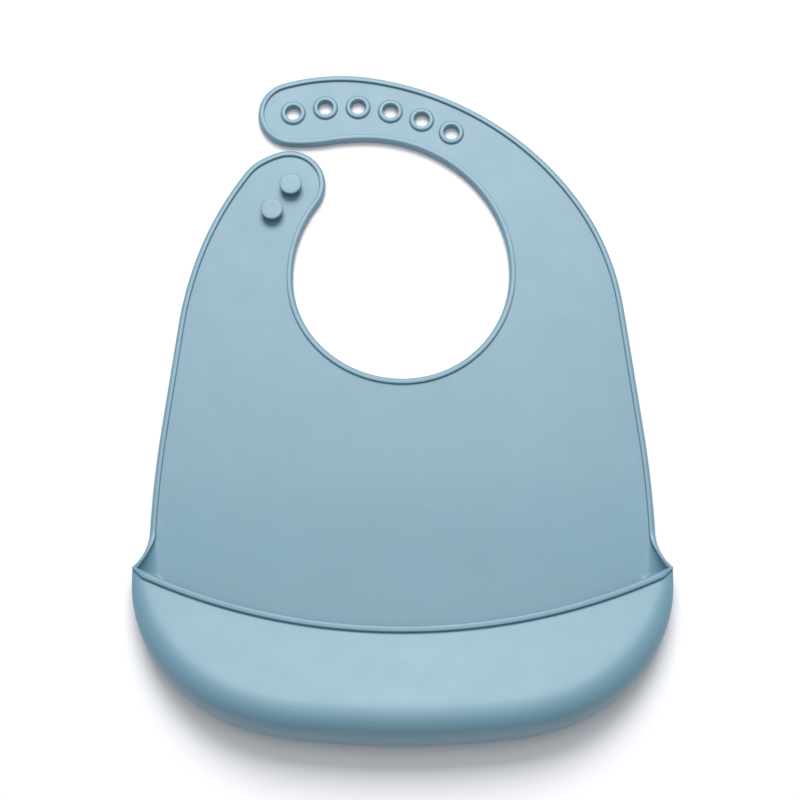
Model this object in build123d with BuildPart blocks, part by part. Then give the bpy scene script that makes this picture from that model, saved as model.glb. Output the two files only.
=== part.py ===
"""Silicone feeding bib: a one-piece moulding, drawn as the members it is made of.

The bib lies on its back. X runs across it, Y from the catch pocket to the neck strap, and Z
out of its front face. The origin is the middle of the whole outline, on the resting surface.
"""
import math
import os

from build123d import *

# ---- sheet and beads (mm) ----
web_thickness = 1.6
bead_width = 2.5
bead_height = 4.0
bead_round = 1.0
web_bottom = (bead_height - web_thickness) / 2
cut_gap = 0.3  # slit left between two stretches of the moulding that bend about one line

# ---- outer edge: tangent arcs from the foot of the side to the strap's end and the tab ----
side_foot_x = 108.2
side_foot_y = -62.4
side_lean = 91.2  # heading of the side at its foot, degrees from +X
side_radius, side_turn = 470.0, 5.6
side_straight = 48.0
# each arc is its radius and its turn in degrees
strap_back = [(661.0, 1.0), (117.6, 26.1), (139.3, 46.2), (91.0, 26.9), (15.6, 159.4)]
tab_back = [(169.0, 11.9), (150.8, 17.0)]

# ---- neck opening: arcs from its lowest point, up each side ----
neck_bottom_y = 6.7
neck_right = [(46.8, 47.2), (51.3, 39.7), (62.7, 39.8), (65.3, 52.9)]
neck_left = [(50.0, 51.2), (45.9, 34.6), (58.7, 39.8)]
tab_tip_radius, tab_tip_turn = 16.5, 143.8

# ---- catch pocket ----
pocket_bottom_y = -153.5
pocket_arcs = [(404.0, 6.4), (99.0, 14.2), (72.5, 37.5), (59.0, 31.0)]
corner_x = 113.8
corner_y = -78.9
parting_height = 12.0  # the two halves of the pocket meet at this height
pocket_height = 28.5
pocket_wall = 2.0
pocket_floor = 1.6
roll_radius = 15.0
under_roll_radius = 9.0
roll_width = 17.0
front_wall_tilt = 14.6  # the front wall rises towards the bottom of the pocket, degrees
lip_corner_height = 13.5
lip_radius = 258.0
lip_middle_y = -105.4
lip_width = 2.8
lip_proud = 1.0

# ---- fastening ----
eyelet_centre = (-25.9, 39.9)
eyelet_circle_radius = 97.5
eyelet_count = 6
eyelet_pitch = 15.0
first_eyelet_angle = 104.4
eyelet_bore = 7.0
eyelet_outer = 11.5
eyelet_height = 4.0
eyelet_round = 1.0
neck_centre = (-0.7, 55.2)
stud_circle_radius = 65.4
stud_angle = 146.1
stud_pitch = 14.75
stud_cap = 10.0
stud_cap_thickness = 2.2
stud_stem = 6.5
stud_stem_length = 2.8
stud_round = 0.8

# ---- lines that the moulding bends about ----
fold_y = -20.0
tab_bend_angle = 167.0
strap_gap_y = 116.9  # middle of the slit between the strap's end and the stud tab
far = 190.0

eyelet_step = math.degrees(2 * math.asin(eyelet_pitch / 2 / eyelet_circle_radius))
strap_bend_angles = [first_eyelet_angle - eyelet_step * (k + 0.5) for k in (7, 4, 1)]
stud_step = math.degrees(2 * math.asin(stud_pitch / 2 / stud_circle_radius))


def on_circle(centre, radius, angle):
    """Point at an angle on a circle."""
    a = math.radians(angle)
    return (centre[0] + radius * math.cos(a), centre[1] + radius * math.sin(a))


def heading(angle):
    """Unit direction at an angle from +X."""
    return on_circle((0, 0), 1, angle)


def arc_chain(start, direction, arcs, side):
    """Tangent arcs end to end; side is 1 for left-hand turns and -1 for right-hand turns."""
    for radius, turn in arcs:
        arc = JernArc(start, direction, radius, side * turn)
        start, direction = arc @ 1, arc % 1
    return start, direction


def two_arcs(start, way, end, end_way):
    """Pair of tangent arcs from one point and direction to another point and direction."""
    start, way, end, end_way = Vector(start), Vector(way), Vector(end), Vector(end_way)
    chord, sum_way, spread = end - start, way + end_way, 2 * (1 - way.dot(end_way))
    along = chord.dot(sum_way)
    reach = (math.sqrt(along**2 + spread * chord.dot(chord)) - along) / spread
    middle = (start + way * reach + end - end_way * reach) * 0.5
    first = TangentArc(start, middle, tangent=way)
    TangentArc(middle, end, tangent=first % 1)


# The whole outline, walked with the moulding on the left hand.
with BuildLine() as outline:
    foot = (side_foot_x, side_foot_y)
    side = JernArc(foot, heading(side_lean), side_radius, side_turn)
    flank = Line(side @ 1, side @ 1 + side % 1 * side_straight)
    mirror(side, about=Plane.YZ)
    mirror(flank, about=Plane.YZ)
    strap_tip, strap_way = arc_chain(flank @ 1, flank % 1, strap_back, 1)

    throat = (0, neck_bottom_y)
    under_strap, under_strap_way = arc_chain(throat, (1, 0), neck_right, 1)
    two_arcs(strap_tip, strap_way, under_strap, -under_strap_way)
    tab_neck, tab_neck_way = arc_chain(throat, (-1, 0), neck_left, -1)
    tab_tip = JernArc(tab_neck, tab_neck_way, tab_tip_radius, tab_tip_turn)
    left_top = (-(flank @ 1).X, (flank @ 1).Y)
    left_way = (-(flank % 1).X, (flank % 1).Y)
    shoulder, shoulder_way = arc_chain(left_top, left_way, tab_back, -1)
    two_arcs(tab_tip @ 1, tab_tip % 1, shoulder, -shoulder_way)

    corner = (corner_x, corner_y)
    left_corner = (-corner_x, corner_y)
    flare = TangentArc(foot, corner, tangent=heading(side_lean + 180))
    mirror(flare, about=Plane.YZ)
    for sign, end in ((1, corner), (-1, left_corner)):
        pocket_side, pocket_way = arc_chain((0, pocket_bottom_y), (sign, 0), pocket_arcs, sign)
        TangentArc(pocket_side, end, tangent=pocket_way)

with BuildSketch() as bib_shape:
    with BuildLine():
        add(outline.line)
    make_face()
with BuildSketch() as web_shape:
    add(bib_shape.sketch)
    offset(amount=-bead_width)
with BuildSketch() as bead_shape:
    add(bib_shape.sketch)
    add(web_shape.sketch, mode=Mode.SUBTRACT)


def zone(*corners):
    """Plan area bounded by straight lines, drawn in by half a slit all round."""
    with BuildSketch() as area:
        with BuildLine():
            Polyline(*corners, close=True)
        make_face()
        offset(amount=-cut_gap / 2, kind=Kind.INTERSECTION)
    return area.sketch


def strap_ray(k):
    """Far end of the k-th bend line across the strap."""
    return on_circle(eyelet_centre, far, strap_bend_angles[k])


tab_ray = on_circle(neck_centre, far, tab_bend_angle)
last_bend = strap_bend_angles[-1]
slit_reach = (strap_gap_y - eyelet_centre[1]) / math.sin(math.radians(last_bend))
slit_end = on_circle(eyelet_centre, slit_reach, last_bend)
lower_zone = zone((-far, side_foot_y), (far, side_foot_y), (far, fold_y), (-far, fold_y))
chest_zone = zone((-far, fold_y), (far, fold_y), strap_ray(0), eyelet_centre, neck_centre, tab_ray)
strap_zones = [
    zone(eyelet_centre, strap_ray(0), strap_ray(1)),
    zone(eyelet_centre, strap_ray(1), strap_ray(2)),
    zone(slit_end, strap_ray(2), (-far, far), (-far, strap_gap_y)),
]
tab_zone = zone(neck_centre, (neck_centre[0], strap_gap_y), (-far, strap_gap_y), tab_ray)

eyelet_points = [
    on_circle(eyelet_centre, eyelet_circle_radius, first_eyelet_angle - eyelet_step * k)
    for k in range(eyelet_count)
]
stud_points = [
    on_circle(neck_centre, stud_circle_radius, stud_angle + stud_step * (k - 0.5)) for k in range(2)
]

# The edge bead as one long rounded rib, cut into stretches further down.
with BuildPart() as whole_bead:
    with BuildSketch():
        add(bead_shape.sketch)
        with Locations((0, side_foot_y)):
            Rectangle(2 * far, 2 * far, align=(Align.CENTER, Align.MIN), mode=Mode.INTERSECT)
    extrude(amount=bead_height)
    long_edges = [
        e
        for e in whole_bead.faces().filter_by(Axis.Z).edges()
        if e.bounding_box().max.Y > side_foot_y + bead_round
    ]
    fillet(long_edges, bead_round)


def bead_run(area, keep=None):
    """Stretch of the edge bead in one zone; keep is an optional second plan area."""
    with BuildPart() as run:
        add(whole_bead.part)
        with BuildSketch():
            add(area)
            if keep:
                add(keep, mode=Mode.INTERSECT)
        extrude(amount=bead_height, mode=Mode.INTERSECT)
    return run.part


def web(area, holes=()):
    """Stretch of the thin sheet in one zone, with holes where eyelets are moulded in."""
    with BuildPart() as sheet:
        with BuildSketch(Plane.XY.offset(web_bottom)):
            add(web_shape.sketch)
            add(area, mode=Mode.INTERSECT)
            if holes:
                with Locations(*holes):
                    Circle(eyelet_outer / 2, mode=Mode.SUBTRACT)
        extrude(amount=web_thickness)
    return sheet.part


def across(*profile):
    """Solid with one side profile, given as (y, z) corners, running right across the bib."""
    with BuildPart() as bar:
        with BuildSketch(Plane.YZ):
            with BuildLine():
                Polyline(*profile, close=True)
            make_face()
        extrude(amount=far, both=True)
    return bar.part


def half_plan(sign):
    """The right-hand half of the plan for 1, the left-hand half for -1."""
    with BuildSketch() as half:
        with Locations((sign * far / 2, 0)):
            Rectangle(far, 4 * far)
    return half.sketch


os.makedirs("parts", exist_ok=True)


def keep_part(solid, node):
    """Label a finished piece and write it to its own file."""
    solid.label = node
    export_step(solid, f"parts/{node}.step")
    print(f"{node:22s} {len(solid.solids())} solid  {solid.volume:9.1f} mm3")


# ---- flat sheet of the chest panel; below the sides' foot it dips to the resting surface ----
dip_start = side_foot_y + cut_gap / 2
dip = across(
    (dip_start, web_bottom),
    (dip_start, web_bottom + web_thickness),
    (corner_y, pocket_floor),
    (corner_y, 0),
)
with BuildPart() as lower_panel:
    with BuildSketch():
        add(web_shape.sketch)
    extrude(amount=bead_height)
    add(dip, mode=Mode.INTERSECT)
    add(web(lower_zone))
keep_part(lower_panel.part, "lower_panel")

with BuildPart() as upper_panel:
    add(web(chest_zone))
keep_part(upper_panel.part, "upper_panel")

# ---- corners: the side bead climbs to the pocket's parting line on a low gusset ----
climb_end = corner_y + cut_gap
climb_base = parting_height - bead_height
climbing_bar = across(
    (dip_start, 0), (dip_start, bead_height), (climb_end, parting_height), (climb_end, climb_base)
)
gusset_bar = across((dip_start, 0), (climb_end, climb_base), (climb_end, 0))
for sign, name in ((1, "right"), (-1, "left")):
    with BuildPart() as lower_bead:
        with BuildSketch():
            add(bead_shape.sketch)
            add(half_plan(sign), mode=Mode.INTERSECT)
        extrude(amount=parting_height)
        add(climbing_bar, mode=Mode.INTERSECT)
        add(bead_run(lower_zone, half_plan(sign)))
    keep_part(lower_bead.part, f"lower_bead_{name}")

    with BuildPart() as gusset:
        with BuildSketch():
            add(bead_shape.sketch)
            add(half_plan(sign), mode=Mode.INTERSECT)
        extrude(amount=parting_height)
        add(gusset_bar, mode=Mode.INTERSECT)
    keep_part(gusset.part, f"corner_gusset_{name}")

# ---- beads round the chest: left edge, neck opening, right edge ----
chest_runs = bead_run(chest_zone).solids().sort_by(Axis.X)
for solid, name in zip(chest_runs, ("left", "neck", "right")):
    with BuildPart() as chest_bead:
        add(solid)
    keep_part(chest_bead.part, f"chest_bead_{name}" if name != "neck" else "neck_bead")

# ---- strap: three stretches of sheet, each with its beads; the last bead rounds the end ----
strap_eyelets = [eyelet_points[5:], eyelet_points[2:5], eyelet_points[:2]]
for k, (area, holes) in enumerate(zip(strap_zones, strap_eyelets), start=1):
    with BuildPart() as strap_web:
        add(web(area, holes))
    keep_part(strap_web.part, f"strap_web_{k}")
    runs = bead_run(area).solids()
    runs.sort(key=lambda run: math.dist(eyelet_centre, tuple(run.center())[:2]))
    names = (f"strap_inner_bead_{k}", f"strap_outer_bead_{k}")
    for solid, name in zip(runs, names if len(runs) == 2 else ("strap_end_bead",)):
        with BuildPart() as strap_bead:
            add(solid)
        keep_part(strap_bead.part, name)

# ---- eyelets: rounded rings moulded through the strap ----
for k, point in enumerate(eyelet_points, start=1):
    with BuildPart() as eyelet:
        with BuildSketch():
            with Locations(point):
                Circle(eyelet_outer / 2)
                Circle(eyelet_bore / 2, mode=Mode.SUBTRACT)
        extrude(amount=eyelet_height)
        outer_rims = eyelet.edges().filter_by(GeomType.CIRCLE).group_by(SortBy.RADIUS)[-1]
        fillet(outer_rims.filter_by(lambda e: e.length > 1), eyelet_round)
    keep_part(eyelet.part, f"eyelet_{k}")

# ---- stud tab: sheet, bead round its tip, and two mushroom studs ----
with BuildPart() as tab_web:
    add(web(tab_zone))
keep_part(tab_web.part, "tab_web")

with BuildPart() as tab_bead:
    add(bead_run(tab_zone))
keep_part(tab_bead.part, "tab_bead")

web_top = web_bottom + web_thickness
for point, name in zip(stud_points, ("upper_stud", "lower_stud")):
    with BuildPart() as stud:
        with BuildSketch(Plane.XY.offset(web_top)):
            with Locations(point):
                Circle(stud_stem / 2)
        extrude(amount=stud_stem_length)
        with BuildSketch(Plane.XY.offset(web_top + stud_stem_length)):
            with Locations(point):
                Circle(stud_cap / 2)
        extrude(amount=stud_cap_thickness)
        cap_rims = stud.edges().filter_by(GeomType.CIRCLE).group_by(SortBy.RADIUS)[-1]
        fillet(cap_rims, stud_round)
    keep_part(stud.part, name)

# ---- catch pocket ----
# its outline is carried straight on past the corners, so that its rounded edges run out clean
with BuildSketch() as pocket_shape:
    with BuildLine():
        for sign in (1, -1):
            low_side, low_way = arc_chain((0, pocket_bottom_y), (sign, 0), pocket_arcs, sign)
            TangentArc(low_side, (sign * corner_x, corner_y), tangent=low_way)
            Line((sign * corner_x, corner_y), (sign * corner_x, side_foot_y))
        Line((corner_x, side_foot_y), (-corner_x, side_foot_y))
    make_face()
with BuildSketch() as hollow_shape:
    add(pocket_shape.sketch)
    offset(amount=-pocket_wall)
with BuildSketch() as behind_lip:
    Rectangle(4 * far, 4 * far)
    with Locations((0, lip_middle_y + lip_radius)):
        Circle(lip_radius, mode=Mode.SUBTRACT)
with BuildSketch() as under_lip:
    Rectangle(4 * far, 4 * far)
    with Locations((0, lip_middle_y + lip_radius)):
        Circle(lip_radius + lip_width, mode=Mode.SUBTRACT)


def rounded_block(shape, bottom, top, radius, edge_z):
    """Upright block with the edges at one height rounded, all but its straight open end."""
    with BuildPart() as block:
        with BuildSketch(Plane.XY.offset(bottom)):
            add(shape)
        extrude(amount=top - bottom)
        rims = block.edges().filter_by_position(Axis.Z, edge_z, edge_z)
        mouth = max(e.center().Y for e in rims)
        fillet([e for e in rims if e.center().Y < mouth - pocket_wall * 2], radius)
    return block.part


mouth_cut = across((corner_y, -far), (corner_y, far), (-far, far), (-far, -far))
with BuildPart() as pocket_back:
    add(rounded_block(pocket_shape.sketch, 0, parting_height, under_roll_radius, 0))
    inner_roll = under_roll_radius - pocket_wall
    hollow = rounded_block(hollow_shape.sketch, pocket_floor, pocket_height, inner_roll, pocket_floor)
    add(hollow, mode=Mode.SUBTRACT)
    add(mouth_cut, mode=Mode.INTERSECT)
keep_part(pocket_back.part, "pocket_back")

shell_base = parting_height + cut_gap
slope = math.tan(math.radians(front_wall_tilt))


def below_front(rise):
    """Space under the front wall's plane, shifted up by rise."""
    foot_z = lip_corner_height + rise + slope * (corner_y - side_foot_y)
    end_y = 2 * pocket_bottom_y
    end_z = foot_z + slope * (side_foot_y - end_y)
    return across((end_y, 0), (end_y, end_z), (side_foot_y, foot_z), (side_foot_y, 0))


with BuildPart() as front_shell:
    add(rounded_block(pocket_shape.sketch, shell_base, pocket_height, roll_radius, pocket_height))
    add(below_front(0), mode=Mode.INTERSECT)
    ceiling = pocket_height - pocket_wall
    roll_inside = roll_radius - pocket_wall
    inside = rounded_block(hollow_shape.sketch, 0, ceiling, roll_inside, ceiling)
    inside = inside & below_front(-pocket_wall)
    add(inside, mode=Mode.SUBTRACT)
with BuildSketch() as wall_shape:
    add(pocket_shape.sketch)
    offset(amount=-roll_width)

# the rounded front of the pocket, from the parting line up to where the flat wall starts
with BuildPart() as pocket_roll:
    add(front_shell.part)
    with BuildSketch():
        add(under_lip.sketch)
        add(wall_shape.sketch, mode=Mode.SUBTRACT)
    extrude(amount=2 * pocket_height, mode=Mode.INTERSECT)
keep_part(pocket_roll.part, "pocket_roll")

# the flat sloping wall between the roll and the lip
with BuildPart() as front_wall:
    add(front_shell.part)
    with BuildSketch():
        add(under_lip.sketch)
        add(wall_shape.sketch, mode=Mode.INTERSECT)
    extrude(amount=2 * pocket_height, mode=Mode.INTERSECT)
keep_part(front_wall.part, "front_wall")

# the bead along the mouth, standing proud of the wall
with BuildPart() as lip_bead:
    with BuildSketch(Plane.XY.offset(shell_base)):
        add(behind_lip.sketch)
        add(under_lip.sketch, mode=Mode.SUBTRACT)
        add(pocket_shape.sketch, mode=Mode.INTERSECT)
        with Locations((0, corner_y)):
            Rectangle(2 * far, far, align=(Align.CENTER, Align.MAX), mode=Mode.INTERSECT)
    extrude(amount=2 * pocket_height)
    add(below_front(lip_proud), mode=Mode.INTERSECT)
    add(below_front(-pocket_wall - lip_proud), mode=Mode.SUBTRACT)
keep_part(lip_bead.part, "lip_bead")
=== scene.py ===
import math

import bpy
import numpy as np
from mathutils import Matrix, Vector
from mathutils.geometry import delaunay_2d_cdt


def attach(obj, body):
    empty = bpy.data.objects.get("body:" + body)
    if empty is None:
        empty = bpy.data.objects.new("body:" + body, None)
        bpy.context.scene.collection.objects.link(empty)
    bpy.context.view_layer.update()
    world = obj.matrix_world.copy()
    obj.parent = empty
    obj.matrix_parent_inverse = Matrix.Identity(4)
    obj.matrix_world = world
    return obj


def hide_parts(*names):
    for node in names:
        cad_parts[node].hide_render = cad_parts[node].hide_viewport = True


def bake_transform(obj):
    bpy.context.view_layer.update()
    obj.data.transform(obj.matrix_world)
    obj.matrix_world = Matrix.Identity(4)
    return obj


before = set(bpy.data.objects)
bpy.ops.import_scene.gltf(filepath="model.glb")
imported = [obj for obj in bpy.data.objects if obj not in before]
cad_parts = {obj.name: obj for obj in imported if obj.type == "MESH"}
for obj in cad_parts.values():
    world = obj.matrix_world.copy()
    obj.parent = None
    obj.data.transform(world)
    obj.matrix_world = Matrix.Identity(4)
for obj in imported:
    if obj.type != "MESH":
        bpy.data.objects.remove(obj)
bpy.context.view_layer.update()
ROOT, CHEST = "pocket_and_lower_panel", "upper_panel"


# ---------------------------------------------------------------------------------------------
# The mould's outline. The bib is pressed from one lump of silicone between two steel plates, and
# this is the edge cut into them: tangent arcs in millimetres, walked with the silicone on the left.
# ---------------------------------------------------------------------------------------------
foot = (108.2, -62.4)
foot_way = 91.2
side_arcs = [(470.0, 5.6), (0, 48.0)]
strap_arcs = [(661.0, 1.0), (117.6, 26.1), (139.3, 46.2), (91.0, 26.9), (15.6, 159.4)]
tab_arcs = [(169.0, 11.9), (150.8, 17.0)]
throat = (0.0, 6.7)
neck_right_arcs = [(46.8, 47.2), (51.3, 39.7), (62.7, 39.8), (65.3, 52.9)]
neck_left_arcs = [(50.0, 51.2), (45.9, 34.6), (58.7, 39.8)]
tab_tip_arc = (16.5, 143.8)
pocket_foot = (0.0, -153.5)
pocket_arcs = [(404.0, 6.4), (99.0, 14.2), (72.5, 37.5), (59.0, 31.0)]
corner = (113.8, -78.9)


def walk(x, y, way, arcs, step=1.0):
    """Points along tangent arcs (radius, turn); a negative radius turns right, radius 0 is straight."""
    rows = []
    for radius, turn in arcs:
        length = turn if radius == 0 else abs(radius) * math.radians(turn)
        count = max(3, math.ceil(length / step))
        for k in range(count):
            share = k / count
            if radius == 0:
                rows.append((x + math.cos(way) * length * share, y + math.sin(way) * length * share, way))
            else:
                w = way + math.copysign(math.radians(turn), radius) * share
                rows.append((x + radius * (math.sin(w) - math.sin(way)),
                             y - radius * (math.cos(w) - math.cos(way)), w))
        if radius == 0:
            x, y = x + math.cos(way) * length, y + math.sin(way) * length
        else:
            w = way + math.copysign(math.radians(turn), radius)
            x, y = x + radius * (math.sin(w) - math.sin(way)), y - radius * (math.cos(w) - math.cos(way))
            way = w
    return rows, (x, y, way)


def arc_to(start, way, end):
    """The arc that leaves start in one direction and reaches end, as (radius, turn)."""
    dx, dy = end[0] - start[0], end[1] - start[1]
    off = math.atan2(dy, dx) - way
    off = (off + math.pi) % (2 * math.pi) - math.pi
    return math.hypot(dx, dy) / (2 * math.sin(off)), abs(math.degrees(2 * off))


def two_arcs(start, way, end, end_way):
    """Pair of tangent arcs from one point and direction to another."""
    p, q = np.array(start), np.array(end)
    a, b = np.array([math.cos(way), math.sin(way)]), np.array([math.cos(end_way), math.sin(end_way)])
    spread = 2 * (1 - a @ b)
    along = (q - p) @ (a + b)
    reach = (math.sqrt(along ** 2 + spread * (q - p) @ (q - p)) - along) / spread
    middle = (p + a * reach + q - b * reach) / 2
    first = arc_to(start, way, middle)
    mid_way = way + math.copysign(math.radians(first[1]), first[0])
    return [first, arc_to(middle, mid_way, end)]


def right_turns(arcs):
    return [(-radius, turn) for radius, turn in arcs]


up_right, at = walk(*foot, math.radians(foot_way), side_arcs)
strap_back, strap_tip = walk(*at, strap_arcs)
_, under = walk(*throat, 0.0, neck_right_arcs)
under_way = under[2] + math.pi
tip_join, _ = walk(*strap_tip, two_arcs(strap_tip[:2], strap_tip[2], under[:2], under_way))
neck, at = walk(*under[:2], under_way, right_turns(neck_right_arcs[::-1] + neck_left_arcs))
tab_tip, tab_end = walk(*at, [tab_tip_arc])
_, shoulder = walk(*foot, math.radians(foot_way), side_arcs + tab_arcs)
shoulder_way = 2 * math.pi - shoulder[2]
tab_join, _ = walk(*tab_end, two_arcs(tab_end[:2], tab_end[2], (-shoulder[0], shoulder[1]), shoulder_way))
down_left, left_foot = walk(-shoulder[0], shoulder[1], shoulder_way, (side_arcs + tab_arcs)[::-1])
left_corner = (-corner[0], corner[1])
left_flare, _ = walk(*left_foot, [arc_to(left_foot[:2], left_foot[2], left_corner)])
_, low = walk(*pocket_foot, 0.0, pocket_arcs)
last_arc = arc_to(low[:2], low[2], corner)
half_pocket = pocket_arcs + [last_arc]
low_way = low[2] + math.radians(last_arc[1])
pocket_edge, _ = walk(*left_corner, 2 * math.pi - low_way, half_pocket[::-1] + half_pocket)
right_flare = [(-x, y, math.pi - w + math.pi) for x, y, w in left_flare[1:]][::-1]
right_flare.insert(0, (*corner, math.pi - left_flare[-1][2] + math.pi))

runs = [up_right, strap_back, tip_join, neck, tab_tip, tab_join,
        down_left, left_flare, pocket_edge, right_flare]
edge = np.array([row[:2] for run in runs for row in run])
edge_way = np.array([row[2] for run in runs for row in run])
edge_in = np.stack([-np.sin(edge_way), np.cos(edge_way)], 1)
starts = np.cumsum([0] + [len(run) for run in runs])
left_foot_at, left_corner_at, right_corner_at = starts[7], starts[8], starts[9]


# ---------------------------------------------------------------------------------------------
# Lines that the moulding bends about. The bib is one piece of soft silicone, so each bend is only
# a soft stretch of sheet; these cuts lie in the stiff stretches between the bends.
# ---------------------------------------------------------------------------------------------
mm = 0.001
eyelet_centre, eyelet_circle = (-25.9, 39.9), 97.5
neck_centre = (-0.7, 55.2)
strap_cuts = (25.0, 51.5, 73.5)
tab_bend, tab_cut = 167.0, 185.0
fold_line, fold_cut = -20.0, 2.0


def on_circle(centre, radius, angle):
    a = math.radians(angle)
    return np.array([centre[0] + radius * math.cos(a), centre[1] + radius * math.sin(a)])


cut_lines = [((-200.0, fold_cut), 0.0)] + [(eyelet_centre, angle) for angle in strap_cuts]
cut_lines.append((neck_centre, tab_cut))
crossings = []
for origin, angle in cut_lines:
    along = on_circle((0, 0), 1, angle)
    side = (edge - origin) @ np.array([-along[1], along[0]])
    ahead = (edge - origin) @ along
    for i in range(len(edge)):
        j = (i + 1) % len(edge)
        if side[i] * side[j] < 0:
            share = side[i] / (side[i] - side[j])
            if ahead[i] + share * (ahead[j] - ahead[i]) > 0:
                crossings.append((i, share))
crossings.sort()
spots = [i + share for i, share in crossings]
fine = np.concatenate([np.arange(len(edge)), spots])
order = np.argsort(fine)
ring = np.arange(len(edge) + 1)
edge = np.stack([np.interp(fine[order], ring, np.append(edge[:, k], edge[0, k])) for k in (0, 1)], 1)
edge_in = np.stack([np.interp(fine[order], ring, np.append(edge_in[:, k], edge_in[0, k])) for k in (0, 1)], 1)
edge_in /= np.linalg.norm(edge_in, axis=1)[:, None]
left_foot_at, left_corner_at, right_corner_at = (
    int(np.searchsorted(fine[order], k)) for k in (left_foot_at, left_corner_at, right_corner_at))
stops = [int(np.searchsorted(fine[order], spot)) for spot in spots]
for k in (left_corner_at, right_corner_at):
    before, after = edge[k] - edge[k - 1], edge[k + 1] - edge[k]
    n1 = np.array([-before[1], before[0]]) / np.linalg.norm(before)
    n2 = np.array([-after[1], after[0]]) / np.linalg.norm(after)
    edge_in[k] = (n1 + n2) / (1 + n1 @ n2)


# ---------------------------------------------------------------------------------------------
# Silicone. Soft food-grade rubber with the blue mixed through it, moulded in a blasted steel tool,
# so it is dull and faintly grained, and it holds a little lint.
# ---------------------------------------------------------------------------------------------
bib_blue = (0.148, 0.288, 0.372, 1.0)


def node(tree, kind, values=None, **props):
    made = tree.nodes.new(kind)
    for key, value in props.items():
        setattr(made, key, value)
    for key, value in (values or {}).items():
        if isinstance(value, bpy.types.NodeSocket):
            tree.links.new(value, made.inputs[key])
        else:
            made.inputs[key].default_value = value
    return made


def new_group(name, inputs, outputs):
    group = bpy.data.node_groups.new(name, "ShaderNodeTree")
    for socket, kind in inputs.items():
        group.interface.new_socket(name=socket, in_out="INPUT", socket_type=kind)
    for socket, kind in outputs.items():
        group.interface.new_socket(name=socket, in_out="OUTPUT", socket_type=kind)
    return group, group.nodes.new("NodeGroupInput"), group.nodes.new("NodeGroupOutput")


# colour of the rubber: slow changes of shade, and lint as sparse pale specks
tint_group, g_in, g_out = new_group(
    "silicone_tint",
    {"Rubber": "NodeSocketColor", "Mottle": "NodeSocketFloat", "Lint": "NodeSocketFloat"},
    {"Color": "NodeSocketColor", "Lint Mask": "NodeSocketFloat"})
place = node(tint_group, "ShaderNodeTexCoord").outputs["Object"]
slow = node(tint_group, "ShaderNodeTexNoise",
            {"Vector": place, "Scale": 24.0, "Detail": 3.0, "Roughness": 0.55})
centred = node(tint_group, "ShaderNodeMath", {0: slow.outputs["Fac"], 1: 0.5}, operation="SUBTRACT")
swing = node(tint_group, "ShaderNodeMath", {0: centred.outputs[0], 1: g_in.outputs["Mottle"]},
             operation="MULTIPLY")
lift = node(tint_group, "ShaderNodeMath", {0: swing.outputs[0], 1: 1.0}, operation="ADD")
shade = node(tint_group, "ShaderNodeHueSaturation",
             {"Color": g_in.outputs["Rubber"], "Value": lift.outputs[0]})
speck = node(tint_group, "ShaderNodeTexVoronoi", {"Vector": place, "Scale": 380.0})
close = node(tint_group, "ShaderNodeMapRange",
             {"Value": speck.outputs["Distance"], "From Min": 0.05, "From Max": 0.10,
              "To Min": 1.0, "To Max": 0.0})
pick = node(tint_group, "ShaderNodeSeparateColor", {"Color": speck.outputs["Color"]})
rare = node(tint_group, "ShaderNodeMath", {0: pick.outputs["Red"], 1: 0.93}, operation="GREATER_THAN")
mask = node(tint_group, "ShaderNodeMath", {0: close.outputs["Result"], 1: rare.outputs[0]},
            operation="MULTIPLY")
lint = node(tint_group, "ShaderNodeMath", {0: mask.outputs[0], 1: g_in.outputs["Lint"]}, operation="MULTIPLY")
dusted = node(tint_group, "ShaderNodeMix", {"Factor": lint.outputs[0], "A": shade.outputs["Color"],
                                            "B": (0.62, 0.72, 0.79, 1.0)}, data_type="RGBA")
tint_group.links.new(dusted.outputs[2], g_out.inputs["Color"])
tint_group.links.new(lint.outputs[0], g_out.inputs["Lint Mask"])

# skin of the rubber: blasted grain, a slow unevenness, and the roughness they give
skin_group, g_in, g_out = new_group(
    "moulded_skin",
    {"Grain": "NodeSocketFloat", "Wave": "NodeSocketFloat", "Dullness": "NodeSocketFloat",
     "Lint Mask": "NodeSocketFloat"},
    {"Height": "NodeSocketFloat", "Roughness": "NodeSocketFloat"})
place = node(skin_group, "ShaderNodeTexCoord").outputs["Object"]
grain = node(skin_group, "ShaderNodeTexNoise", {"Vector": place, "Scale": 2600.0, "Detail": 2.0})
wave = node(skin_group, "ShaderNodeTexNoise", {"Vector": place, "Scale": 90.0, "Detail": 2.0})
fine_part = node(skin_group, "ShaderNodeMath", {0: grain.outputs["Fac"], 1: g_in.outputs["Grain"]},
                 operation="MULTIPLY")
slow_part = node(skin_group, "ShaderNodeMath", {0: wave.outputs["Fac"], 1: g_in.outputs["Wave"]},
                 operation="MULTIPLY")
both = node(skin_group, "ShaderNodeMath", {0: fine_part.outputs[0], 1: slow_part.outputs[0]}, operation="ADD")
raised = node(skin_group, "ShaderNodeMath", {0: g_in.outputs["Lint Mask"], 1: 0.6, 2: both.outputs[0]},
              operation="MULTIPLY_ADD")
skin_group.links.new(raised.outputs[0], g_out.inputs["Height"])
patchy = node(skin_group, "ShaderNodeMath", {0: wave.outputs["Fac"], 1: 0.08, 2: g_in.outputs["Dullness"]},
              operation="MULTIPLY_ADD")
skin_group.links.new(patchy.outputs[0], g_out.inputs["Roughness"])


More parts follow.
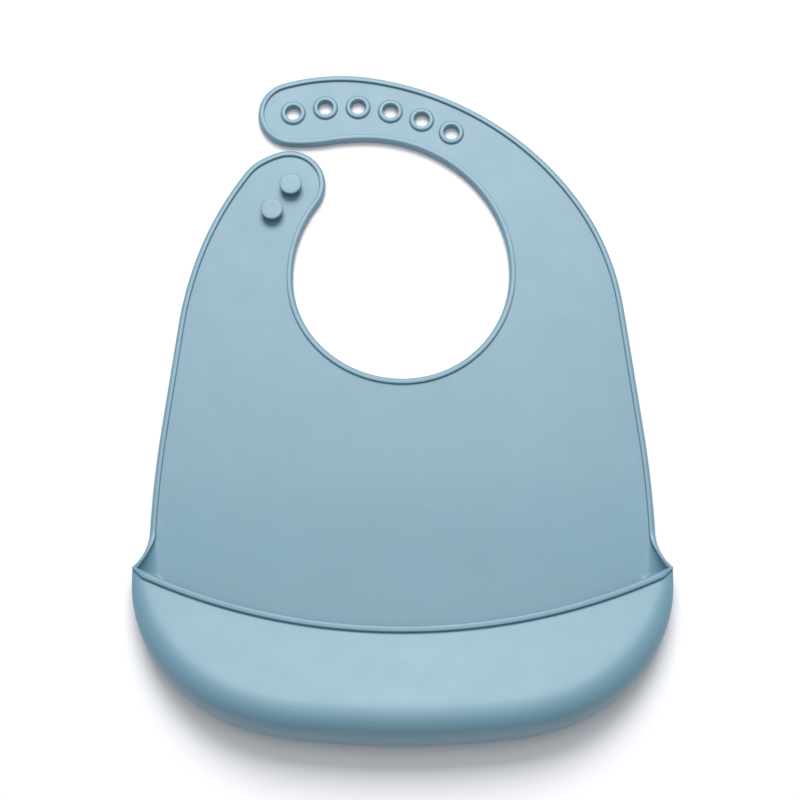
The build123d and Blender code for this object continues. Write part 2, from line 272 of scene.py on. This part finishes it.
def silicone(name, colour=bib_blue, mottle=0.10, lint=0.5, grain=0.30, wave=0.6,
             dullness=0.38, depth=0.00006):
    """Silicone rubber with its own strength of grain, lint and dullness."""
    made = bpy.data.materials.new(name)
    made.use_nodes = True
    tree = made.node_tree
    shader = tree.nodes["Principled BSDF"]
    tint = node(tree, "ShaderNodeGroup", node_tree=tint_group)
    tint.inputs["Rubber"].default_value = colour
    tint.inputs["Mottle"].default_value = mottle
    tint.inputs["Lint"].default_value = lint
    skin = node(tree, "ShaderNodeGroup", node_tree=skin_group)
    skin.inputs["Grain"].default_value = grain
    skin.inputs["Wave"].default_value = wave
    skin.inputs["Dullness"].default_value = dullness
    tree.links.new(tint.outputs["Lint Mask"], skin.inputs["Lint Mask"])
    bump = node(tree, "ShaderNodeBump",
                {"Height": skin.outputs["Height"], "Distance": depth, "Strength": 1.0})
    tree.links.new(tint.outputs["Color"], shader.inputs["Base Color"])
    tree.links.new(skin.outputs["Roughness"], shader.inputs["Roughness"])
    tree.links.new(bump.outputs["Normal"], shader.inputs["Normal"])
    shader.inputs["Specular IOR Level"].default_value = 0.62
    return made


# ---------------------------------------------------------------------------------------------
# Sheet. The bib's panel, strap and tab are one web of silicone 1.6 mm thick, lying half way up
# the beads; under the pocket it drops to the table and turns up to the pocket's parting line.
# ---------------------------------------------------------------------------------------------
sheet_thickness = 1.6
sheet_height = 2.0
pocket_floor_height = 0.8
parting_height = 12.0
under_roll = 12.0
grid_pitch = 3.4
dip_from, dip_run = -34.0, 62.0
climb_softness = 1.5
first_eyelet, eyelet_step = 104.4, 8.82
eyelet_angles = [first_eyelet - eyelet_step * k for k in range(6)]
eyelet_spots = [on_circle(eyelet_centre, eyelet_circle, angle) for angle in eyelet_angles]
eyelet_hole = 5.1

count = len(edge)
index = np.arange(count)
climb_left = np.clip((index - left_foot_at) / (left_corner_at - left_foot_at), 0, 1)
climb_right = np.clip((count - index) / (count - right_corner_at), 0, 1)
climb_right = np.where(index >= right_corner_at, climb_right, 1.0)
climb = np.where(index < left_corner_at, climb_left, climb_right) ** climb_softness
rim_height = sheet_height + (parting_height - 0.1 - sheet_height) * climb
rim_width = 2.0 + (under_roll - 2.0) * climb
bead_height = sheet_height + 8.0 * climb


def to_edge(points):
    """Distance from each plan point to the outline, and the place on the outline as an index."""
    distance, place = np.empty(len(points)), np.empty(len(points))
    for first in range(0, len(points), 1500):
        part = points[first:first + 1500]
        near = np.argmin(((part[:, None] - edge[None]) ** 2).sum(2), 1)
        best = np.full(len(part), 1e9)
        for step in (-1, 0):
            i = (near + step) % count
            start, run = edge[i], edge[(i + 1) % count] - edge[i]
            share = np.clip(((part - start) * run).sum(1) / (run ** 2).sum(1), 0, 1)
            far = np.linalg.norm(start + run * share[:, None] - part, axis=1)
            better = far < best
            best[better] = far[better]
            place[first:first + 1500][better] = (i + share)[better]
        distance[first:first + 1500] = best
    return distance, place


def at_place(values, place):
    return np.interp(place, np.arange(count + 1), np.append(values, values[0]))


def inside(points, loop):
    """Even-odd test of plan points against a closed loop."""
    hit = np.zeros(len(points), bool)
    for p, q in zip(loop, np.roll(loop, -1, axis=0)):
        if p[1] == q[1]:
            continue
        spans = (p[1] > points[:, 1]) != (q[1] > points[:, 1])
        hit ^= spans & (points[:, 0] < (q[0] - p[0]) * (points[:, 1] - p[1]) / (q[1] - p[1]) + p[0])
    return hit


def ease(t):
    t = np.clip(t, 0, 1)
    return t * t * (3 - 2 * t)


def quarter(t, power=2.0):
    """Height of a quarter round, from 0 at its upright edge to 1 where it lies flat."""
    return (1 - (1 - np.clip(t, 0, 1)) ** power) ** (1 / power)


def sheet_level(points):
    """Height of the middle of the sheet."""
    distance, place = to_edge(points)
    floor = sheet_height - (sheet_height - pocket_floor_height) * ease((dip_from - points[:, 1]) / dip_run)
    rise = 1 - quarter((distance - sheet_thickness / 2) / at_place(rim_width, place))
    return floor + (at_place(rim_height, place) - floor) * rise


rim = edge + edge_in * sheet_thickness / 2
cloud, ties = [rim], [np.stack([index, (index + 1) % count], 1)]
total = count
for origin, angle in cut_lines:
    along = on_circle((0, 0), 1, angle)
    across = np.array([-along[1], along[0]])
    marks = [k for k in stops
             if abs((edge[k] - origin) @ across) < 1e-3 and (edge[k] - origin) @ along > 0]
    a, b = sorted(marks, key=lambda k: (edge[k] - origin) @ along)
    steps = max(2, round(np.linalg.norm(rim[b] - rim[a]) / 3.0))
    line = rim[a] + (rim[b] - rim[a]) * np.linspace(0, 1, steps + 1)[1:-1, None]
    chain = [a, *range(total, total + len(line)), b]
    ties.append(np.array(list(zip(chain, chain[1:]))))
    cloud.append(line)
    total += len(line)
for spot in eyelet_spots:
    turn = np.linspace(0, 2 * math.pi, 40, endpoint=False)
    cloud.append(spot + eyelet_hole * np.stack([np.cos(turn), np.sin(turn)], 1))
    ring_at = total + np.arange(40)
    ties.append(np.stack([ring_at, np.roll(ring_at, -1)], 1))
    total += 40
fixed = np.concatenate(cloud)
loose = []
for theta in range(10, 91, 10):
    deep = rim_width * (1 - math.cos(math.radians(theta)))
    keep = climb > 0.02
    row = (rim + edge_in * deep[:, None])[keep]
    gap, _ = to_edge(row)
    loose.append(row[gap > sheet_thickness / 2 + deep[keep] - 0.12])
xs, ys = np.arange(-116, 117, grid_pitch), np.arange(-156, 156, grid_pitch * 0.866)
grid = np.array([(x + (k % 2) * grid_pitch / 2, y) for k, y in enumerate(ys) for x in xs])
grid = grid[inside(grid, rim)]
gap, place = to_edge(grid)
grid = grid[gap > np.where(at_place(climb, place) > 0.02, at_place(rim_width, place) + 2.6, 2.6)]
loose = np.concatenate(loose + [grid])
near_fixed = np.array([((fixed[count:] - p) ** 2).sum(1).min() for p in loose]) < 1.2 ** 2
loose = loose[~near_fixed]
plan = np.concatenate([fixed, loose])
flat, _, faces, _, _, _ = delaunay_2d_cdt(
    [tuple(p) for p in plan], [tuple(int(i) for i in t) for t in np.concatenate(ties)], [], 0, 1e-5)
flat, faces = np.array([tuple(p) for p in flat]), np.array([tuple(f) for f in faces])
middle = flat[faces].mean(1)
keep = inside(middle, rim)
for spot in eyelet_spots:
    keep &= np.linalg.norm(middle - spot, axis=1) > eyelet_hole - 0.05
faces, middle = faces[keep], middle[keep]
level = sheet_level(flat)
sheet = np.c_[flat, level]


def turn_at(points, centre):
    return np.degrees(np.arctan2(points[:, 1] - centre[1], points[:, 0] - centre[0])) % 360


def mesh_normals(points, faces):
    """Area-weighted direction at each point of a triangle or quad mesh."""
    a, b, c = (points[faces[:, k]] for k in (0, 1, 2))
    face = np.cross(b - a, c - a)
    if faces.shape[1] == 4:
        face = face + np.cross(c - a, points[faces[:, 3]] - a)
    total = np.zeros_like(points)
    for k in range(faces.shape[1]):
        np.add.at(total, faces[:, k], face)
    return total / np.maximum(np.linalg.norm(total, axis=1), 1e-12)[:, None]


def build(name, points, faces, material, sharp_angle=50.0):
    """Object from points in millimetres, smooth but for its sharp edges."""
    mesh = bpy.data.meshes.new(name)
    mesh.from_pydata((np.asarray(points) * mm).tolist(), [], [tuple(int(i) for i in f) for f in faces])
    mesh.validate()
    mesh.shade_smooth()
    mesh.set_sharp_from_angle(angle=math.radians(sharp_angle))
    mesh.materials.append(material)
    made = bpy.data.objects.new(name, mesh)
    bpy.context.scene.collection.objects.link(made)
    return made


def thick(name, points, faces, normals, thickness, material):
    """Closed skin of even thickness about a middle surface."""
    used = np.unique(faces)
    lookup = np.full(len(points), -1)
    lookup[used] = np.arange(len(used))
    small = lookup[faces]
    upper, lower = points[used] + normals[used] * thickness / 2, points[used] - normals[used] * thickness / 2
    rims = {}
    for f in small:
        for a, b in zip(f, np.roll(f, -1)):
            rims[(int(a), int(b))] = True
    walls = [(a, a + len(used), b + len(used), b) for a, b in rims if (b, a) not in rims]
    skins = [tuple(f) for f in small] + [tuple(f[::-1] + len(used)) for f in small]
    return build(name, np.concatenate([upper, lower]), skins + walls, material)


flow = mesh_normals(sheet, faces)
if flow[:, 2].mean() < 0:
    faces, flow = faces[:, ::-1], -flow
strap_gap = 116.9
around = turn_at(middle, eyelet_centre)
on_strap = (middle[:, 1] > fold_cut) & (around > strap_cuts[0]) & (around < 180)
on_strap &= (middle[:, 0] > 0) | (middle[:, 1] > strap_gap)
past_gap = (middle[:, 1] > strap_gap) | (middle[:, 0] > -20)
tab_turn = turn_at(middle, neck_centre)
on_tab = (middle[:, 0] < 0) & (tab_turn < tab_cut) & (tab_turn > 90)
on_tab &= (middle[:, 1] < strap_gap) & ~on_strap
on_strap &= past_gap & ~on_tab
below = middle[:, 1] < fold_cut
stretches = {
    "bib_panel": below,
    "chest_panel": ~below & ~on_strap & ~on_tab,
    "strap_sheet_1": on_strap & (around < strap_cuts[1]),
    "strap_sheet_2": on_strap & (around >= strap_cuts[1]) & (around < strap_cuts[2]),
    "strap_sheet_3": on_strap & (around >= strap_cuts[2]),
    "tab_sheet": on_tab,
}
sheet_rubber = silicone("sheet_silicone_skin")
pieces = {name: thick(name, sheet, faces[part], flow, sheet_thickness, sheet_rubber)
          for name, part in stretches.items()}


def bend_with(piece, bend):
    """Bake the piece's placement into its mesh; every bend is treated the same."""
    if bend == "fold":
        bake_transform(piece)
    elif bend == "tab":
        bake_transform(piece)
    else:
        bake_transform(piece)


bend_with(pieces["bib_panel"], "fold")
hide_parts("lower_panel", "pocket_back", "corner_gusset_left", "corner_gusset_right")
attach(pieces["chest_panel"], CHEST)
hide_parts("upper_panel")
for k in range(3):
    bend_with(pieces[f"strap_sheet_{k + 1}"], k)
    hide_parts(f"strap_web_{k + 1}")
bend_with(pieces["tab_sheet"], "tab")
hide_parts("tab_web")


# ---------------------------------------------------------------------------------------------
# Edge bead. A rounded rib 2.5 mm wide and 4 mm high moulded along every edge of the sheet, so that
# it doesn't tear; a fine witness line runs round its outside where the two mould plates meet.
# ---------------------------------------------------------------------------------------------
bead_width, bead_tall = 2.5, 4.0
outer_round, inner_round = 1.1, 0.4
witness = 0.13


def rib_profile(width, tall, outer, inner, ridge):
    """Section of a rib as (inward, up) about half its height, outside first."""
    half, rows = tall / 2, []
    corners = ((outer, half - outer, outer, 180), (width - inner, half - inner, inner, 90),
               (width - inner, -half + inner, inner, 0), (outer, -half + outer, outer, 270))
    for u, v, soft, start in corners:
        turns = [math.radians(start - 15 * k) for k in range(7)]
        rows += [(u + soft * math.cos(turn), v + soft * math.sin(turn)) for turn in turns]
    return rows + [(0, -0.28), (-ridge, -0.09), (-ridge, 0.09), (0, 0.28)]


def sweep(name, path, inward, profile, material, breadth=None, height=None):
    """Rib along a path of (x, y, z) with its inward directions, closed at both ends."""
    rows = np.array(profile)
    breadth = np.ones(len(path)) if breadth is None else breadth
    height = np.ones(len(path)) if height is None else height
    points = np.concatenate([
        np.c_[p[0] + n[0] * rows[:, 0] * w, p[1] + n[1] * rows[:, 0] * w, p[2] + rows[:, 1] * h]
        for p, n, w, h in zip(path, inward, breadth, height)])
    across, made = len(rows), []
    for i in range(len(path) - 1):
        for k in range(across):
            a, b = i * across + k, i * across + (k + 1) % across
            made.append((a, b, b + across, a + across))
    last = (len(path) - 1) * across
    made += [tuple(range(across))[::-1], tuple(last + k for k in range(across))]
    return build(name, points, [f[::-1] for f in made], material, 60.0)


bead_rubber = silicone("bead_silicone_skin", lint=0.25, grain=0.20, dullness=0.36)
bead_section = rib_profile(bead_width, bead_tall, outer_round, inner_round, witness)
bead_runs = {
    "side_bead_right": (right_corner_at, stops[0] + count, "fold", ["lower_bead_right"]),
    "chest_side_bead_right": (stops[0], stops[1], CHEST, ["chest_bead_right"]),
    "strap_outer_bead_a": (stops[1], stops[2], 0, ["strap_outer_bead_1"]),
    "strap_outer_bead_b": (stops[2], stops[3], 1, ["strap_outer_bead_2"]),
    "strap_tip_bead": (stops[3], stops[4], 2, ["strap_end_bead"]),
    "strap_inner_bead_b": (stops[4], stops[5], 1, ["strap_inner_bead_2"]),
    "strap_inner_bead_a": (stops[5], stops[6], 0, ["strap_inner_bead_1"]),
    "neck_edge_bead": (stops[6], stops[7], CHEST, ["neck_bead"]),
    "tab_edge_bead": (stops[7], stops[8], "tab", ["tab_bead"]),
    "chest_side_bead_left": (stops[8], stops[9], CHEST, ["chest_bead_left"]),
    "side_bead_left": (stops[9], left_corner_at, "fold", ["lower_bead_left"]),
}
for name, (first, last, carrier, nodes) in bead_runs.items():
    run = np.arange(first, last + 1) % count
    bead = sweep(name, np.c_[edge[run], bead_height[run]], edge_in[run], bead_section, bead_rubber,
                 breadth=1 - 0.28 * ease(climb[run] * 3) - 0.22 * climb[run])
    if carrier == CHEST:
        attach(bead, CHEST)
    else:
        bend_with(bead, carrier)
    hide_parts(*nodes)


# ---------------------------------------------------------------------------------------------
# Eyelets. Six rings moulded through the strap, as high as the edge bead, with a 7 mm bore that the
# studs press into; each rim is softly rounded where the mould's pins leave it.
# ---------------------------------------------------------------------------------------------
eyelet_bore, eyelet_outer, eyelet_tall = 3.5, 5.75, 4.0
lathe_steps = 72


def lathe(name, spot, profile, material, closed=True):
    """Turned piece about an upright line, from (radius, height) rows."""
    rows = len(profile)
    turns = [2 * math.pi * k / lathe_steps for k in range(lathe_steps)]
    points = [(spot[0] + r * math.cos(turn), spot[1] + r * math.sin(turn), z)
              for turn in turns for r, z in profile]
    made = []
    for k in range(lathe_steps):
        here, there = k * rows, (k + 1) % lathe_steps * rows
        for i in range(rows if closed else rows - 1):
            j = (i + 1) % rows
            made.append((here + i, there + i, there + j, here + j))
    if not closed:
        made.append(tuple(k * rows + rows - 1 for k in range(lathe_steps)))
        made.append(tuple(k * rows for k in range(lathe_steps))[::-1])
    return build(name, points, made, material)


def arc_rows(centre, radius, start, end, steps=6):
    turns = [math.radians(start + (end - start) * k / steps) for k in range(steps + 1)]
    return [(centre[0] + radius * math.cos(turn), centre[1] + radius * math.sin(turn)) for turn in turns]


eyelet_rubber = silicone("eyelet_silicone_skin", lint=0.15, grain=0.18, dullness=0.36)
rim_round, bore_round = 0.95, 0.45
ring_rows = (arc_rows((eyelet_outer - rim_round, rim_round), rim_round, -90, 0)
             + arc_rows((eyelet_outer - rim_round, eyelet_tall - rim_round), rim_round, 0, 90)
             + arc_rows((eyelet_bore + bore_round, eyelet_tall - bore_round), bore_round, 90, 180)
             + arc_rows((eyelet_bore + bore_round, bore_round), bore_round, 180, 270))
eyelet_bends = (None, 2, 2, None, 1, 1)
eyelet_bodies = ("strap_end", None, None, "strap_middle", None, None)
for k, spot in enumerate(eyelet_spots):
    ring_piece = lathe(f"eyelet_ring_{k + 1}", spot, ring_rows, eyelet_rubber)
    if eyelet_bends[k] is None:
        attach(ring_piece, eyelet_bodies[k])
    else:
        bend_with(ring_piece, eyelet_bends[k])
    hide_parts(f"eyelet_{k + 1}")


# ---------------------------------------------------------------------------------------------
# Studs. Two solid mushrooms moulded on the tab, each a stem that fills an eyelet and a flat cap
# that is pushed through it; the stem runs into the sheet with a small fillet.
# ---------------------------------------------------------------------------------------------
stud_middle, stud_half_turn = 146.1, 6.47
stud_turns = (stud_middle - stud_half_turn, stud_middle + stud_half_turn)
stud_circle = 65.4
stem, cap, cap_low, cap_high = 3.25, 5.0, 5.6, 7.8
stud_rubber = silicone("stud_silicone_skin", lint=0.15, grain=0.18, dullness=0.36)
fillet, fillet_top = 0.9, 3.5
under_round, cap_edge = 0.8, 0.45
fillet_turns = [math.radians(a) for a in range(0, 91, 18)]
stud_rows = [(stem + fillet, 2.4)]
stud_rows += [(stem + fillet - fillet * math.sin(a), fillet_top - fillet * math.cos(a)) for a in fillet_turns]
stud_rows += [(stem, cap_low - 0.3), (stem + 0.3, cap_low)]
stud_rows += arc_rows((cap - under_round, cap_low + under_round), under_round, -90, 0)
stud_rows += arc_rows((cap - cap_edge, cap_high - cap_edge), cap_edge, 0, 90)
stud_rows += [(cap * 0.45, cap_high - 0.02), (0.4, cap_high - 0.05)]
for name, turn in zip(("upper_stud", "lower_stud"), stud_turns):
    spot = on_circle(neck_centre, stud_circle, turn)
    stud = lathe(f"{name}_body", spot, stud_rows, stud_rubber, closed=False)
    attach(stud, "stud_tab")
    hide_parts(name)


# ---------------------------------------------------------------------------------------------
# Catch pocket's front. A stiffer scoop of the same silicone: it turns over from the parting line
# in a full round, then runs as a flat sloping wall up to the mouth.
# ---------------------------------------------------------------------------------------------
wall_tilt = math.tan(math.radians(14.6))
lip_corner_height = 13.5
lip_radius, lip_low = 258.0, -105.4
lip_reach = 112.6
roll_width, roll_fullness = 17.0, 2.5
wall_thickness = 1.8


def wall_plane(y):
    return lip_corner_height + wall_tilt * (corner[1] - y)


def front_level(points):
    """Height of the outside of the pocket's front."""
    distance, _ = to_edge(points)
    top = wall_plane(points[:, 1])
    width = roll_width * np.sqrt(np.maximum(top - parting_height, 0.2) / 16.5)
    return parting_height + (top - parting_height) * quarter(distance / width, roll_fullness)


def lip_y(x):
    return lip_low + lip_radius - np.sqrt(lip_radius ** 2 - x ** 2)


scoop = edge[left_corner_at + 2:right_corner_at - 1]
scoop_way = np.concatenate([[0], np.cumsum(np.linalg.norm(np.diff(scoop, axis=0), axis=1))])
share = scoop_way / scoop_way[-1]
lip_x = (share * 2 - 1) * lip_reach
lip_edge = np.stack([lip_x, lip_y(lip_x)], 1)
reach = np.linalg.norm(lip_edge - scoop, axis=1)
roll_rows = 12
levels = []
for k in range(roll_rows + 1):
    part = 1 - math.cos(math.radians(90 * k / roll_rows))
    levels.append(np.minimum(part * 20.0 / reach, 0.72 * k / roll_rows))
for k in range(1, 15):
    levels.append(levels[roll_rows] + (1 - levels[roll_rows]) * k / 14)
rows = np.stack([scoop + (lip_edge - scoop) * v[:, None] for v in levels])
high = front_level(rows.reshape(-1, 2)).reshape(rows.shape[:2])
high[0] = parting_height
front = np.concatenate([rows, high[..., None]], 2)
deep, wide = front.shape[:2]
front_faces = np.array([(k * wide + i, k * wide + i + 1, (k + 1) * wide + i + 1, (k + 1) * wide + i)
                        for k in range(deep - 1) for i in range(wide - 1)])
front = front.reshape(-1, 3)
front_flow = mesh_normals(front, front_faces)
if front_flow[:, 2].mean() < 0:
    front_faces, front_flow = front_faces[:, ::-1], -front_flow
pocket_rubber = silicone("pocket_silicone_skin", lint=0.5, grain=0.30)
front_piece = thick("pocket_front_shell", front - front_flow * wall_thickness / 2, front_faces, front_flow,
                    wall_thickness, pocket_rubber)
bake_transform(front_piece)
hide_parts("pocket_roll", "front_wall")


# ---------------------------------------------------------------------------------------------
# Lip bead. A rounded rib along the pocket's mouth that keeps it open; it stands proud of the wall
# and runs out to the two corners, where it meets the side beads at the parting line.
# ---------------------------------------------------------------------------------------------
lip_width, lip_tall, lip_proud = 2.9, 4.8, 2.3
lip_half, lip_taper = 113.3, 6.0
lip_run = np.linspace(-lip_half, lip_half, 230)
lip_path = np.stack([lip_run, lip_y(lip_run)], 1)
lip_way = np.gradient(lip_path, axis=0)
lip_way /= np.linalg.norm(lip_way, axis=1)[:, None]
lip_down = np.stack([lip_way[:, 1], -lip_way[:, 0]], 1)
lip_level = wall_plane(lip_path[:, 1]) + lip_proud - lip_tall / 2
lip_level = np.maximum(lip_level, parting_height + 0.2 + lip_tall / 2 - 0.9)
lip_section = rib_profile(lip_width, lip_tall, 1.3, 0.5, 0.0)
lip_end = ease((lip_half - np.abs(lip_run)) / lip_taper)
lip = sweep("lip_edge_bead", np.c_[lip_path, lip_level], lip_down, lip_section, bead_rubber,
            breadth=0.35 + 0.65 * lip_end, height=0.5 + 0.5 * lip_end)
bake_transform(lip)
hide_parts("lip_bead")


# ---------------------------------------------------------------------------------------------
# Table, light and camera. The bib lies on a pale seamless table. A broad soft light stands beyond
# its strap and a weak one hangs over it, in a bright room.
# ---------------------------------------------------------------------------------------------
table_mesh = bpy.data.meshes.new("table")
half, drop = 3, -0.0002
table_mesh.from_pydata([(-half, -half, drop), (half, -half, drop), (half, half, drop), (-half, half, drop)],
                       [], [(0, 1, 2, 3)])
table = bpy.data.objects.new("table", table_mesh)
bpy.context.scene.collection.objects.link(table)
table_white = bpy.data.materials.new("table_white")
table_white.use_nodes = True
table_shader = table_white.node_tree.nodes["Principled BSDF"]
table_shader.inputs["Base Color"].default_value = (0.90, 0.90, 0.92, 1)
table_shader.inputs["Roughness"].default_value = 0.7
table_mesh.materials.append(table_white)


def soft_light(name, spot, target, size, power, colour=(1, 1, 1)):
    data = bpy.data.lights.new(name, "AREA")
    data.shape = "RECTANGLE"
    data.size, data.size_y = size
    data.energy = power
    data.color = colour
    lamp = bpy.data.objects.new(name, data)
    lamp.location = spot
    lamp.rotation_euler = (Vector(target) - Vector(spot)).to_track_quat("-Z", "Y").to_euler()
    bpy.context.scene.collection.objects.link(lamp)
    return lamp


soft_light("window_softbox", (0.0, 1.20, 1.85), (0, 0, 0), (1.25, 1.15), 45.0, (1.0, 0.995, 0.985))
soft_light("ceiling_softbox", (0.0, -0.10, 1.65), (0, -0.08, 0), (1.1, 0.9), 6.0, (1.0, 1.0, 1.0))
world = bpy.data.worlds.new("bright_room")
bpy.context.scene.world = world
world.use_nodes = True
world.node_tree.nodes["Background"].inputs["Color"].default_value = (0.95, 0.975, 1.0, 1)
world.node_tree.nodes["Background"].inputs["Strength"].default_value = 0.30
bpy.context.scene.view_settings.view_transform = "Standard"

view = bpy.data.cameras.new("camera")
view.lens = 81.9
view.sensor_width = 36.0
camera = bpy.data.objects.new("camera", view)
camera.location = (-0.00110, -0.22937, 0.7670)
camera.rotation_euler = (math.radians(16.5), 0, 0)
bpy.context.scene.collection.objects.link(camera)
bpy.context.scene.camera = camera
